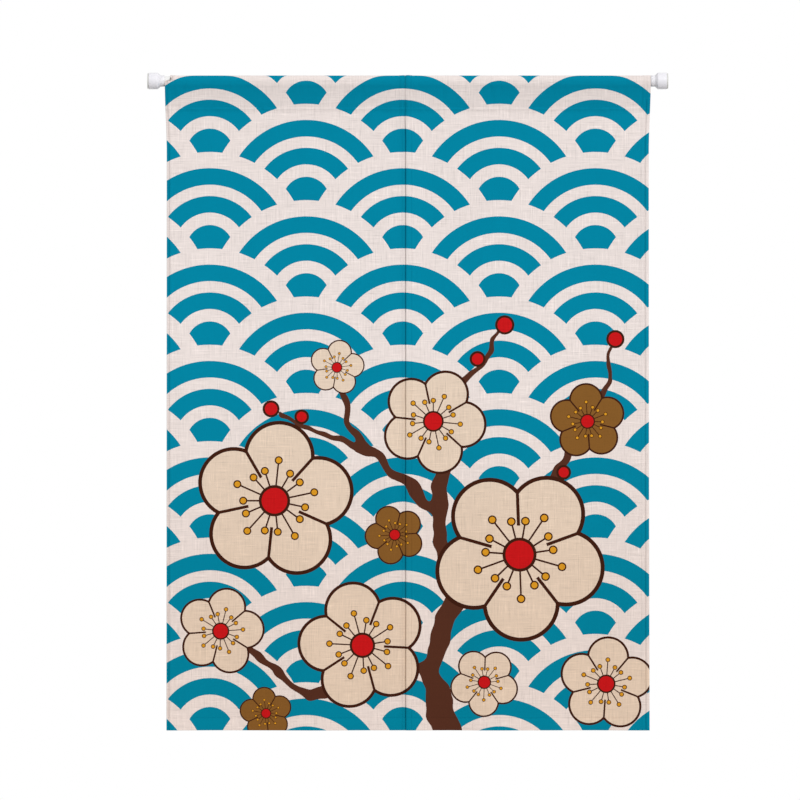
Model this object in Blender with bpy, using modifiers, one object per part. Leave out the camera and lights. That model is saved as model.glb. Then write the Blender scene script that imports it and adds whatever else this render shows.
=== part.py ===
"""Noren curtain on a tension rod: two hemmed cloth panels hang by their sewn pockets on one rod.

Metres, +Z up. The front faces -Y, with +X to the right. The origin is the middle of the left end cap's face,
on the rod's axis, where the cap presses on the left door jamb.
"""

import math

import bmesh
import bpy
import numpy as np

# Driving sizes
SPAN = 0.918  # from one end cap's face to the other's
CURTAIN_WIDTH = 0.850
CURTAIN_DROP = 1.155  # from the top of the pocket to the bottom edge
SLIT_OFF_CENTRE = -0.0045  # the slit's place from the curtain's middle
ROD_RADIUS = 0.008
GAP = 0.0003  # between neighbouring pieces

# Cloth
SHEET = 0.0012  # thickness of one layer
HEM_EXTRA = 0.0006  # what the turned-in layers add to the thickness
SIDE_HEM = 0.007
BOTTOM_HEM = 0.024
STEP = 0.001  # width over which the thickness changes at a hem's inner edge
POCKET_DEPTH = 0.057  # from the pocket's top to its line of stitches
POCKET_HEM = 0.0035  # what the turned-over top reaches past those stitches
NECK = 0.030  # below the rod's axis, where the pocket's front and back meet
RING_STEPS = 12
WRAP_RADIUS = (ROD_RADIUS + GAP) / math.cos(math.pi / RING_STEPS) + SHEET / 2
TOP = WRAP_RADIUS + SHEET / 2
BOTTOM = TOP - CURTAIN_DROP
STITCHES = TOP - POCKET_DEPTH
POCKET_END = STITCHES - POCKET_HEM

# Outline of the panels
FLARE = 0.0032  # how much further out the pocket's mouths stand than the sides below them
FLARE_START = -0.007  # height below which the sides draw in from the mouths
FLARE_RUN = 0.067  # and the height over which they do
MOUTH_DRAWN_BACK = 0.0095  # of the left mouth's upper front corner, which bares the rod there
# Angles round the rod, from straight down by the front: where that mouth's edge starts to step back, has
# stepped back, starts to return and has returned
MOUTH_TURNS = tuple(math.radians(turn) for turn in (86, 102, 200, 250))
SLIT_GAP = 0.0005  # between the panels at the pocket
SLIT_STAGGER = 0.0014  # how far each panel's slit edge leaves the cloth's plane, one forwards and one back
SLIT_REACH = 0.045  # how far into the panel that bend runs
SLIT_RUN = 0.03  # height over which the bend grows below the pocket, and below that the lap
SLIT_LAP = 0.0014  # how far one panel's edge then hides behind the other's

# Soft folds that the hanging cloth keeps: centre and half width along X, depth towards the front at the
# bottom edge, and how far the fold drifts sideways on its way down
FOLDS = (
    {"centre": 0.040, "half_width": 0.060, "depth": 0.0030, "drift": 0.004},
    {"centre": 0.150, "half_width": 0.085, "depth": -0.0032, "drift": -0.014},
    {"centre": 0.275, "half_width": 0.080, "depth": 0.0036, "drift": 0.016},
    {"centre": 0.385, "half_width": 0.060, "depth": -0.0022, "drift": 0.006},
    {"centre": 0.520, "half_width": 0.070, "depth": -0.0026, "drift": 0.010},
    {"centre": 0.635, "half_width": 0.085, "depth": 0.0034, "drift": -0.018},
    {"centre": 0.760, "half_width": 0.080, "depth": -0.0034, "drift": 0.012},
    {"centre": 0.880, "half_width": 0.060, "depth": 0.0026, "drift": -0.004},
)
SWAY = 0.0025  # how far the drop as a whole bellies out at mid height
COLUMNS = 24  # across a panel between its side hems
ROWS = 26  # down a panel between its pocket and its bottom hem

# End caps: a pad, a tapered shoulder, and a collar with a socket for the rod
PAD_RADIUS = 0.0145
PAD_DEPTH = 0.0185
CONTACT_RADIUS = 0.0136  # of the soft disc that meets the jamb
CONTACT_DEPTH = 0.0023
COLLAR_RADIUS = 0.010
SHOULDER_END = 0.0225
CAP_DEPTH = 0.0304
SOCKET_FLOOR = 0.012
CAP_EDGE = 0.0008  # rounding of its edges
TURN_STEPS = 32
SHARP_ANGLE = math.radians(40)  # edges sharper than this stay crisp on smooth-shaded cloth

OBJECT_NAME = "noren_curtain"
COLOURS = {
    "cloth": {"rgb": (0.81, 0.73, 0.70), "roughness": 0.9, "metallic": 0.0},
    "white_enamel": {"rgb": (0.86, 0.86, 0.85), "roughness": 0.35, "metallic": 0.0},
    "white_plastic": {"rgb": (0.88, 0.88, 0.87), "roughness": 0.45, "metallic": 0.0},
}


def clear_scene():
    for thing in list(bpy.data.objects):
        bpy.data.objects.remove(thing)


def material(name):
    """A Principled BSDF with that finish's colour, roughness and metallic value."""
    made = bpy.data.materials.get(name)
    if made is None:
        made = bpy.data.materials.new(name)
        made.use_nodes = True
        shader = made.node_tree.nodes["Principled BSDF"]
        shader.inputs["Base Color"].default_value = (*COLOURS[name]["rgb"], 1.0)
        shader.inputs["Roughness"].default_value = COLOURS[name]["roughness"]
        shader.inputs["Metallic"].default_value = COLOURS[name]["metallic"]
    return made


def add_object(name, data, finish, collection):
    made = bpy.data.objects.new(name, data)
    made.data.materials.append(material(finish))
    collection.objects.link(made)
    return made


def smooth(share):
    """0 below 0, 1 above 1, and an even S-curve between."""
    share = min(max(share, 0.0), 1.0)
    return share * share * (3 - 2 * share)


# Cloth


def belly(x, z):
    """How far back of the rod's axis the cloth's middle lies: soft folds that deepen on the way down."""
    down = max(STITCHES - z, 0.0) / (STITCHES - BOTTOM)
    back = -SWAY * math.sin(math.pi * down) * down
    for fold in FOLDS:
        off = (x - fold["centre"] - fold["drift"] * down) / fold["half_width"]
        if abs(off) < 1:
            back -= fold["depth"] * math.cos(off * math.pi / 2) ** 2 * down
    return back


def stagger(inwards, z):
    """The bend out of plane at a panel's slit edge, which starts below the pocket."""
    below = smooth((POCKET_END - z) / SLIT_RUN)
    return SLIT_STAGGER * below * (1 - smooth(inwards / SLIT_REACH))


def lap(z):
    """How far a slit edge reaches past the slit's line, once the two edges are clear of each other."""
    return SLIT_LAP / 2 * smooth((POCKET_END - z) / SLIT_RUN - 1)


def flare(z):
    """How far a side edge stands out at this height: most at the rod, nothing below the pocket."""
    return FLARE * (1 - smooth((FLARE_START - z) / FLARE_RUN))


def drawn_back(turn):
    """Share of the left mouth's set-back at this angle round the rod, counted from the neck by the front."""
    starts, stepped, returns, ends = MOUTH_TURNS
    return smooth((turn - starts) / (stepped - starts)) * (1 - smooth((turn - returns) / (ends - returns)))


def panel_edges(side, z, turn=None):
    """(left, right) ends of a panel's row at height z, or at an angle round the rod."""
    middle = SPAN / 2
    slit = middle + SLIT_OFF_CENTRE
    if side == "left":
        outer = middle - CURTAIN_WIDTH / 2 - flare(z)
        if turn is not None:
            outer += MOUTH_DRAWN_BACK * drawn_back(turn)
        return outer, slit - SLIT_GAP / 2 + lap(z)
    return slit + SLIT_GAP / 2 - lap(z), middle + CURTAIN_WIDTH / 2 + flare(z)


def columns_between(left, right):
    """Stations along X: the outer edges, both side hems' inner edges, and even steps between."""
    inner = np.linspace(left + SIDE_HEM + STEP, right - SIDE_HEM - STEP, COLUMNS)
    return np.concatenate([[left, left + SIDE_HEM], inner, [right - SIDE_HEM, right]])


def hanging_heights():
    """Heights of the rows from the bottom edge up to the pocket's neck."""
    hem_top = BOTTOM + BOTTOM_HEM
    free = np.linspace(hem_top + STEP, POCKET_END - STEP, ROWS)
    return [BOTTOM, hem_top, *free, POCKET_END, STITCHES, -NECK]


def ring_turns():
    """Angles round the rod, from down by the front over the top, between the two points of tangency."""
    tangency = math.acos(WRAP_RADIUS / NECK)
    return np.linspace(tangency, 2 * math.pi - tangency, RING_STEPS + 1)


def layers_thickness(column, z):
    """The solid's thickness: one sheet, two where the pocket's flap is sewn on, and more at the hems."""
    thickness = SHEET * (2 if z >= POCKET_END else 1)
    if column < 2 or column > COLUMNS + 1:
        thickness += HEM_EXTRA
    if z <= BOTTOM + BOTTOM_HEM:
        thickness += HEM_EXTRA
    return thickness


def hanging_row(side, z):
    """A row of the cloth at height z, as (x, y, z, thickness)."""
    left, right = panel_edges(side, z)
    row = []
    for column, x in enumerate(columns_between(left, right)):
        bend = stagger(right - x, z) if side == "left" else -stagger(x - left, z)
        row.append((x, belly(x, z) + bend, z, layers_thickness(column, z)))
    return row


def ring_row(side, turn):
    """A row of the cloth at an angle round the rod, as (x, y, z, thickness)."""
    y = -WRAP_RADIUS * math.sin(turn)
    z = -WRAP_RADIUS * math.cos(turn)
    return [(x, y, z, SHEET) for x in columns_between(*panel_edges(side, z, turn))]


def cloth_surface(side):
    """The panel's middle surface and each vertex's thickness: rows up the front to the pocket's neck, then
    round the rod and back to the neck, where the turned-over top joins the front."""
    rows = [hanging_row(side, z) for z in hanging_heights()]
    neck = len(rows) - 1
    rows += [ring_row(side, turn) for turn in ring_turns()]
    mesh = bmesh.new()
    grid = [[mesh.verts.new(point[:3]) for point in row] for row in rows]
    grid.append(grid[neck])
    for low, high in zip(grid, grid[1:]):
        for i in range(len(low) - 1):
            mesh.faces.new((low[i], low[i + 1], high[i + 1], high[i]))
    return mesh, [point[3] for row in rows for point in row]


def cloth_panel(side, collection):
    """One panel, its middle surface thickened to both sides by the layers that lie there."""
    mesh, thicknesses = cloth_surface(side)
    data = bpy.data.meshes.new(f"{side}_panel")
    mesh.to_mesh(data)
    mesh.free()
    panel = add_object(f"{side}_panel", data, "cloth", collection)
    thickest = max(thicknesses)
    group = panel.vertex_groups.new(name="layers")
    for index, thickness in enumerate(thicknesses):
        group.add([index], thickness / thickest, "REPLACE")
    # Three sheets meet at the pocket's neck, so this takes Solidify's complex mode
    layers = panel.modifiers.new("layers", "SOLIDIFY")
    layers.solidify_mode = "NON_MANIFOLD"
    layers.nonmanifold_thickness_mode = "CONSTRAINTS"
    layers.nonmanifold_merge_threshold = 0.00001
    layers.vertex_group = group.name
    layers.thickness = thickest
    layers.offset = 0
    data.shade_smooth()
    data.set_sharp_from_angle(angle=SHARP_ANGLE)
    return panel


# Rod and end caps


def rod(collection):
    """A plain tube, closed at the ends, from one cap's socket to the other's."""
    curve = bpy.data.curves.new("rod", "CURVE")
    curve.dimensions = "3D"
    curve.bevel_depth = ROD_RADIUS
    curve.bevel_resolution = 6
    curve.use_fill_caps = True
    spline = curve.splines.new("POLY")
    spline.points.add(1)
    spline.points[0].co = (SOCKET_FLOOR + GAP, 0, 0, 1)
    spline.points[1].co = (SPAN - SOCKET_FLOOR - GAP, 0, 0, 1)
    return add_object("rod", curve, "white_enamel", collection)


def rounded_corner(radius, depth, start, end, steps=3):
    """Points of a quarter arc of CAP_EDGE about (radius, depth), between two angles in degrees."""
    angles = np.radians(np.linspace(start, end, steps + 1))
    return [(radius + CAP_EDGE * math.cos(a), depth + CAP_EDGE * math.sin(a)) for a in angles]


def cap_profile():
    """(radius, depth behind the face), up the socket, then down the collar, shoulder and pad to the axis."""
    socket = ROD_RADIUS + GAP
    points = [(0, SOCKET_FLOOR), (socket, SOCKET_FLOOR), (socket, CAP_DEPTH)]
    points += rounded_corner(COLLAR_RADIUS - CAP_EDGE, CAP_DEPTH - CAP_EDGE, 90, 0)
    points += [(COLLAR_RADIUS, SHOULDER_END)]
    points += rounded_corner(PAD_RADIUS - CAP_EDGE, PAD_DEPTH - CAP_EDGE, 60, 0)
    points += [(PAD_RADIUS, CONTACT_DEPTH), (CONTACT_RADIUS, CONTACT_DEPTH)]
    points += rounded_corner(CONTACT_RADIUS - CAP_EDGE, CAP_EDGE, 0, -90)
    return points + [(0, 0)]


def cap_mesh():
    """The cap's half outline in its XZ plane, for a Screw modifier to turn about Z."""
    mesh = bmesh.new()
    outline = [mesh.verts.new((radius, 0, depth)) for radius, depth in cap_profile()]
    for first, second in zip(outline, outline[1:]):
        mesh.edges.new((first, second))
    data = bpy.data.meshes.new("end_cap")
    mesh.to_mesh(data)
    mesh.free()
    return data


def end_cap(name, data, x, quarter_turns, collection):
    """A cap whose face is at x, turned about Y so that its socket looks inwards."""
    cap = add_object(name, data.copy(), "white_plastic", collection)
    cap.location = (x, 0, 0)
    cap.rotation_euler = (0, quarter_turns * math.pi / 2, 0)
    turned = cap.modifiers.new("turned", "SCREW")
    turned.axis = "Z"
    turned.steps = TURN_STEPS
    turned.render_steps = TURN_STEPS
    turned.use_merge_vertices = True
    turned.merge_threshold = 0.00001
    turned.use_smooth_shade = True
    return cap


def main():
    clear_scene()
    collection = bpy.data.collections.new(OBJECT_NAME)
    bpy.context.scene.collection.children.link(collection)
    cloth_panel("left", collection)
    cloth_panel("right", collection)
    rod(collection)
    outline = cap_mesh()
    end_cap("end_cap_left", outline, 0, 1, collection)
    end_cap("end_cap_right", outline, SPAN, -1, collection)


main()
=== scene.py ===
"""The looks of a split doorway curtain of printed linen-look cloth, hung on a white tension rod.

Metres, +Z up, and the front faces -Y. The origin is the middle of the left end cap's face, on the rod's axis.
"""

import math

import bmesh
import bpy
import numpy as np
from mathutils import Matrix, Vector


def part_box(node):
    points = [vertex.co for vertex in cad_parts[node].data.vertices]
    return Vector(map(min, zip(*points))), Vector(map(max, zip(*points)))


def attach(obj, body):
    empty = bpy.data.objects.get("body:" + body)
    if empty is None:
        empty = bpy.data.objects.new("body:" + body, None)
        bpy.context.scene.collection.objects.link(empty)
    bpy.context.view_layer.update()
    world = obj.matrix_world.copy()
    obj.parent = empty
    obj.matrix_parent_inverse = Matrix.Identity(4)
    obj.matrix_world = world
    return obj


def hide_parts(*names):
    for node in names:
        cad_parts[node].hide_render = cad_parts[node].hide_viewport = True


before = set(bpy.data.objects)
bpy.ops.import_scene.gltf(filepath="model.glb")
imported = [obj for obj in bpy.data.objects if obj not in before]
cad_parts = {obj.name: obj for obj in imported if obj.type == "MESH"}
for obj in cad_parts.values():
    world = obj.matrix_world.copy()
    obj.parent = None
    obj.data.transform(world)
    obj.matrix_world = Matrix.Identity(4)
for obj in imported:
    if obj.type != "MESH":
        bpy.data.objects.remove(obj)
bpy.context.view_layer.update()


# ---- Rod ----
# A thin steel tube in white baked enamel, clamped between the two jambs of a doorway. It runs through both
# pockets into the sockets of the end caps, and shows only for a few millimetres beside the left pocket.

ROD_RADIUS = 0.008
ROD_ENDS = [corner.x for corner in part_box("rod")]
ROD_EDGE = 0.0006  # rounding of its ends
ROUND_SIDES = 64
MERGE = 1e-7  # points closer than this become one
CREASE = math.radians(35)  # edges sharper than this stay crisp
ENAMEL = (0.86, 0.86, 0.85)
CLOUDS = 60.0  # a metre, in tone and gloss
GLOSS_VARIES = 0.12


class Field:
    """One output of a material's nodes. Arithmetic on fields and numbers adds Math nodes."""

    def __init__(self, tree, socket=None):
        self.tree = tree
        self.socket = socket

    def node(self, kind, settings=None, inputs=None, output=0):
        """An output of a new node, whose settings are set first and then its sockets set or linked."""
        made = self.tree.nodes.new("ShaderNode" + kind)
        for name, value in (settings or {}).items():
            if name == "stops":
                set_stops(made.color_ramp, value)
            else:
                setattr(made, name, value)
        for place, value in (inputs or {}).items():
            if isinstance(value, Field):
                self.tree.links.new(value.socket, made.inputs[place])
            else:
                made.inputs[place].default_value = value
        return Field(self.tree, made.outputs[output])

    def math(self, operation, *others):
        return self.node("Math", {"operation": operation}, dict(enumerate((self, *others))))

    def swapped(self, operation, other):
        return self.node("Math", {"operation": operation}, {0: other, 1: self})

    def vector(self, operation, other, output=0):
        return self.node("VectorMath", {"operation": operation}, {0: self, 1: other}, output)

    def across_and_up(self):
        """The X and the Y of a vector."""
        return [self.node("SeparateXYZ", inputs={0: self}, output=part) for part in (0, 1)]

    def feed(self, socket):
        self.tree.links.new(self.socket, socket)

    def __add__(self, other):
        return self.math("ADD", other)

    def __sub__(self, other):
        return self.math("SUBTRACT", other)

    def __rsub__(self, other):
        return self.swapped("SUBTRACT", other)

    def __mul__(self, other):
        return self.math("MULTIPLY", other)

    def __truediv__(self, other):
        return self.math("DIVIDE", other)

    def __lt__(self, other):
        return self.math("LESS_THAN", other)

    def __gt__(self, other):
        return self.math("GREATER_THAN", other)

    __radd__ = __add__
    __rmul__ = __mul__


def set_stops(ramp, stops):
    """Constant steps of grey: pairs of a place along the ramp and the value from there on."""
    ramp.interpolation = "CONSTANT"
    while len(ramp.elements) < len(stops):
        ramp.elements.new(1.0)
    for element, (place, value) in zip(ramp.elements, stops):
        element.position = place
        element.color = (value, value, value, 1.0)


def new_material(name):
    """A material, its Principled shader, and a field to start its expressions from."""
    made = bpy.data.materials.new(name)
    made.use_nodes = True
    return made, made.node_tree.nodes["Principled BSDF"], Field(made.node_tree)


def blend(factor, first, second, kind="RGBA", mode="MIX"):
    """First where factor is 0 and second where it is 1, for colours, vectors or numbers."""
    places = {"FLOAT": (2, 3, 0), "VECTOR": (4, 5, 1), "RGBA": (6, 7, 2)}[kind]
    settings = {"data_type": kind}
    if kind == "RGBA":
        settings["blend_type"] = mode
        first, second = (value if isinstance(value, Field) else (*value, 1.0) for value in (first, second))
    inputs = {0: factor, places[0]: first, places[1]: second}
    field = next(value for value in inputs.values() if isinstance(value, Field))
    return field.node("Mix", settings, inputs, places[2])


def hard_finish(name, colour, roughness, grain_size, grain_depth, mottle):
    """Enamel or moulded plastic: a colour that varies by the share mottle, uneven gloss and a fine grain."""
    made, shader, start = new_material(name)
    place = start.node("TexCoord", output="Object")
    cloudy = start.node("TexNoise", inputs={"Vector": place, "Scale": CLOUDS, "Detail": 3.0}, output="Fac")
    finely = {"Vector": place, "Scale": 1 / grain_size, "Detail": 2.0}
    grain = start.node("TexNoise", inputs=finely, output="Fac")
    darker = tuple(channel * (1 - mottle) for channel in colour)
    blend(cloudy, colour, darker).feed(shader.inputs["Base Color"])
    (cloudy * GLOSS_VARIES + (roughness - GLOSS_VARIES / 2)).feed(shader.inputs["Roughness"])
    bump = start.node("Bump", inputs={"Height": grain, "Distance": grain_depth}, output="Normal")
    bump.feed(shader.inputs["Normal"])
    return made


def grid_piece(name, points, material, uv=None, marks=None):
    """A closed piece over a grid of points [row, place along the row]: quads join neighbours and each row
    closes on itself. Points that meet at poles and seams are merged, and the faces are turned outwards."""
    rows, columns = points.shape[:2]
    index = np.arange(rows * columns).reshape(rows, columns)
    ahead = np.roll(index, -1, axis=1)
    quads = np.stack([index[:-1], ahead[:-1], ahead[1:], index[1:]], axis=-1).reshape(-1, 4)
    data = bpy.data.meshes.new(name)
    data.from_pydata(points.reshape(-1, 3), [], quads.tolist())
    if uv is not None:
        corners = data.uv_layers.new(name="cloth_metres").data
        corners.foreach_set("uv", uv.reshape(-1, 2)[quads.ravel()].astype(np.float32).ravel())
    for mark, values in (marks or {}).items():
        attribute = data.attributes.new(mark, "FLOAT", "POINT")
        attribute.data.foreach_set("value", values.astype(np.float32).ravel())
    mesh = bmesh.new()
    mesh.from_mesh(data)
    bmesh.ops.remove_doubles(mesh, verts=mesh.verts, dist=MERGE)
    bmesh.ops.recalc_face_normals(mesh, faces=mesh.faces)
    mesh.to_mesh(data)
    mesh.free()
    data.shade_smooth()
    data.set_sharp_from_angle(angle=CREASE)
    data.materials.append(material)
    piece = bpy.data.objects.new(name, data)
    bpy.context.scene.collection.objects.link(piece)
    return piece


def turned_piece(name, profile, material):
    """A profile of (x, radius) points carried round the rod's axis: (x, r cos a, r sin a)."""
    x, radius = np.array(profile).T[:, :, None]
    angles = np.linspace(0, 2 * np.pi, ROUND_SIDES, endpoint=False)
    points = np.stack([x + 0 * angles, radius * np.cos(angles), radius * np.sin(angles)], axis=-1)
    return grid_piece(name, points, material)


def arc(x, radius, size, start, end, steps=5):
    """Profile points on a circle of that size about (x, radius), between two angles in degrees from +X."""
    angles = np.radians(np.linspace(start, end, steps + 1))
    return list(zip(x + size * np.cos(angles), radius + size * np.sin(angles)))


enamel = hard_finish("white_enamel", ENAMEL, 0.32, grain_size=0.0015, grain_depth=2e-5, mottle=0.03)
rod_profile = [(ROD_ENDS[0], 0.0)]
rod_profile += arc(ROD_ENDS[0] + ROD_EDGE, ROD_RADIUS - ROD_EDGE, ROD_EDGE, 180, 90)
rod_profile += arc(ROD_ENDS[1] - ROD_EDGE, ROD_RADIUS - ROD_EDGE, ROD_EDGE, 90, 0)
rod_profile += [(ROD_ENDS[1], 0.0)]
rod_tube = turned_piece("rod_tube", rod_profile, enamel)
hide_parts("rod")
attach(rod_tube, "root")


# ---- End caps ----
# Each end of the rod sits in a cap moulded in white plastic, with a wide body, a slanted shoulder and a
# collar. A pale rubber pad is glued on its face, and the pad is what grips the door jamb.

SPAN = 0.918  # between the faces of both caps
PAD_RADIUS = 0.0136
PAD_DEPTH = 0.0021
PAD_EDGE = 0.0006
JOINT_DEPTH = 0.0002  # the fine dark line between pad and cap
JOINT_RADIUS = 0.0128
BODY_RADIUS = 0.0145
BODY_EDGE = 0.0008
BODY_END = 0.0185
COLLAR_RADIUS = 0.010
COLLAR_EDGE = 0.0007
SHOULDER_END = 0.0225
SHOULDER_FACES = 35  # degrees from +X
CAP_DEPTH = 0.0304
SOCKET_RADIUS = 0.0083
SOCKET_FLOOR = 0.012
PLASTIC = (0.83, 0.82, 0.86)
TRANSLUCENCY = 0.6
LIGHT_REACH = 0.003  # how far light spreads in the plastic
RUBBER = (0.70, 0.70, 0.67)


def pad_profile():
    """The rubber pad: flat on the jamb, with a rounded rim, and a little narrower where it meets the cap."""
    points = [(0.0, 0.0)]
    points += arc(PAD_EDGE, PAD_RADIUS - PAD_EDGE, PAD_EDGE, 180, 90)
    points += [(PAD_DEPTH, PAD_RADIUS), (PAD_DEPTH, JOINT_RADIUS)]
    return points + [(PAD_DEPTH + JOINT_DEPTH, JOINT_RADIUS), (PAD_DEPTH + JOINT_DEPTH, 0.0)]


def cap_profile():
    """The moulded cap, from the pad outwards, along body, shoulder and collar, and down into the socket."""
    face = PAD_DEPTH + JOINT_DEPTH
    points = [(face, 0.0)]
    points += arc(face + BODY_EDGE, BODY_RADIUS - BODY_EDGE, BODY_EDGE, 180, 90)
    points += arc(BODY_END - BODY_EDGE, BODY_RADIUS - BODY_EDGE, BODY_EDGE, 90, SHOULDER_FACES)
    points += arc(SHOULDER_END + BODY_EDGE, COLLAR_RADIUS + BODY_EDGE, BODY_EDGE, SHOULDER_FACES + 180, 270)
    points += arc(CAP_DEPTH - COLLAR_EDGE, COLLAR_RADIUS - COLLAR_EDGE, COLLAR_EDGE, 90, 0)
    points += [(CAP_DEPTH, SOCKET_RADIUS + COLLAR_EDGE), (CAP_DEPTH - COLLAR_EDGE, SOCKET_RADIUS)]
    return points + [(SOCKET_FLOOR, SOCKET_RADIUS), (SOCKET_FLOOR, 0.0)]


plastic = hard_finish("white_plastic", PLASTIC, 0.42, grain_size=0.0006, grain_depth=3e-5, mottle=0.03)
plastic_shader = plastic.node_tree.nodes["Principled BSDF"]
plastic_shader.inputs["Subsurface Weight"].default_value = TRANSLUCENCY
plastic_shader.inputs["Subsurface Radius"].default_value = (1.0, 1.0, 1.0)
plastic_shader.inputs["Subsurface Scale"].default_value = LIGHT_REACH
rubber = hard_finish("pale_rubber", RUBBER, 0.75, grain_size=0.0004, grain_depth=6e-5, mottle=0.10)
for side in ("left", "right"):
    for part, profile, material in (("cap", cap_profile(), plastic), ("pad", pad_profile(), rubber)):
        if side == "right":
            profile = [(SPAN - x, radius) for x, radius in profile]
        piece = turned_piece(f"{part}_{side}", profile, material)
        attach(piece, "root")
        if part == "cap":
            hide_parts(f"end_cap_{side}")


# ---- Printed cloth ----
# A slubby plain weave that looks like linen, printed on one side, so that the back shows the print paler. The
# ground is left as it is, and wave arcs and a flowering plum cover both panels as one picture.

TEAL = (0.0010, 0.235, 0.368)
LINEN = (0.820, 0.735, 0.705)
CREAM = (0.770, 0.625, 0.500)
BROWN = (0.050, 0.014, 0.007)
BARK = (0.090, 0.030, 0.017)
RED = (0.570, 0.010, 0.012)
GOLD = (0.700, 0.320, 0.020)
OCHRE = (0.235, 0.105, 0.024)

WAVE_RADIUS = 0.170
WAVE_RISE = WAVE_RADIUS / 2
WAVE_START = (0.076, 0.0)  # the middle of one circle of waves, in cloth metres
# Steps of a wave circle from its middle outwards: share of the radius, and 1 where teal ink starts or 0 where
# it ends
WAVE_RINGS = ((0.0, 1), (0.24, 0), (0.37, 1), (0.54, 0), (0.66, 1), (0.83, 0), (1.0, 0))

# Blossoms: middle in cloth metres, radius, turn in degrees and how far its petals go from cream to ochre
BLOSSOMS = (
    (0.190, 0.405, 0.138, 12, 0),
    (0.622, 0.310, 0.150, -16, 0),
    (0.345, 0.150, 0.112, 33, 0),
    (0.470, 0.545, 0.092, -6, 0),
    (0.742, 0.545, 0.066, 22, 1),
    (0.095, 0.175, 0.076, 4, 0),
    (0.775, 0.082, 0.082, 14, 0),
    (0.402, 0.345, 0.052, 40, 1),
    (0.560, 0.085, 0.060, -20, 0),
    (0.300, 0.640, 0.048, 8, 0),
    (0.175, 0.030, 0.046, 25, 1),
)
# Parts of a blossom, as shares of its radius
PETALS = 5
PETAL_MIDDLE = 0.57
PETAL_RADIUS = 0.43
PETAL_ROOT = 0.40  # where the petals' outlines start
SEAM_ROOT = 0.34  # and the lines between petals
INK_LINE = 0.048  # width of the petals' brown outline
STAMENS_A_PETAL = 3
STAMEN_REACHES = (0.40, 0.52)
STAMEN_TIP = 0.036
TIP_EDGE = 0.052
HEART = 0.165
HEART_EDGE = 0.20
# The plum's limbs: start and end in cloth metres, and the radius at each
LIMBS = (
    (0.500, -0.030, 0.468, 0.120, 0.0230, 0.0190),
    (0.468, 0.120, 0.505, 0.235, 0.0190, 0.0160),
    (0.505, 0.235, 0.478, 0.390, 0.0160, 0.0130),
    (0.478, 0.390, 0.500, 0.560, 0.0130, 0.0090),
    (0.500, 0.560, 0.585, 0.700, 0.0080, 0.0030),
    (0.478, 0.390, 0.345, 0.500, 0.0110, 0.0080),
    (0.345, 0.500, 0.290, 0.650, 0.0080, 0.0030),
    (0.345, 0.500, 0.190, 0.560, 0.0070, 0.0030),
    (0.505, 0.235, 0.660, 0.420, 0.0120, 0.0080),
    (0.660, 0.420, 0.760, 0.560, 0.0080, 0.0050),
    (0.760, 0.560, 0.790, 0.680, 0.0050, 0.0025),
    (0.468, 0.120, 0.260, 0.060, 0.0110, 0.0080),
    (0.260, 0.060, 0.070, 0.200, 0.0080, 0.0040),
)
GNARL = 0.035  # range of the noise that moves them, mostly by a few millimetres
GNARLS = 17.0  # a metre
LIMB_JOIN = 0.008  # how softly they join
# Buds on the limbs: middle in cloth metres and radius
BUDS = (
    (0.596, 0.715, 0.0150),
    (0.548, 0.655, 0.0120),
    (0.184, 0.567, 0.0130),
    (0.791, 0.690, 0.0140),
    (0.238, 0.553, 0.0110),
    (0.700, 0.455, 0.0110),
)
BUD_LINE = 0.002  # half the width of their outline
BLEED = 0.0008  # how far the ink creeps along the threads at an edge

LOW_SHADE = (0.935, 0.885, 0.845)  # painted shade: what is left of the colours near the bottom, which grow darker and warmer there
LOW_SHADE_FROM = 0.75  # in metres above the bottom edge
LOW_SHADE_TO = 0.06
BACK_STRENGTH = 0.50  # of the print seen through from the back

THREAD = 0.0009  # pitch of the weave
SLUBS = (520, 26)  # a metre, across a thread and along it
SLUB_TONES = (0.07, 0.45)  # how much slubs change the tone, on a dark colour and on white
CLOUD_TONES = 0.05
CLOTH_CLOUDS = 9.0  # a metre
STITCH_SHADE = 0.18  # painted shade beside the stitches
CLOTH_ROUGHNESS = 0.86
CLOTH_GLOSS = 0.01
RELIEF = 0.00022  # of threads and slubs


def hypot(across, up):
    """The length of a step: the root of the sum of both squares."""
    return (across * across + up * up).math("SQRT")


def waves(place):
    """1 in teal ink. Circles of WAVE_RADIUS stand in rows WAVE_RISE apart, every second row shifted by a
    radius, and each row lies over the row above. A point takes its ring from the lowest circle over it."""
    across, up = place.vector("SUBTRACT", (*WAVE_START, 0)).across_and_up()
    up = up / WAVE_RISE
    row = up.math("FLOOR")
    rise = (up - row) * WAVE_RISE
    side = (across / (2 * WAVE_RADIUS) + row * 0.5).math("PINGPONG", 0.5) * (2 * WAVE_RADIUS)
    beside = WAVE_RADIUS - side
    near = hypot(side, rise)
    below = hypot(beside, rise + WAVE_RISE)
    above = hypot(beside, WAVE_RISE - rise)
    distance = blend(near < WAVE_RADIUS, above, near, "FLOAT")
    distance = blend(below < WAVE_RADIUS, distance, below, "FLOAT")
    return distance.node("ValToRGB", {"stops": WAVE_RINGS}, {0: distance / WAVE_RADIUS})


def cloth_noise(place, scale, detail, output):
    """Noise over the cloth: one value as output 0, and three as output 1."""
    inputs = {0: place, "Scale": scale, "Detail": detail}
    return place.node("TexNoise", {"noise_dimensions": "2D"}, inputs, output)


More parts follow.
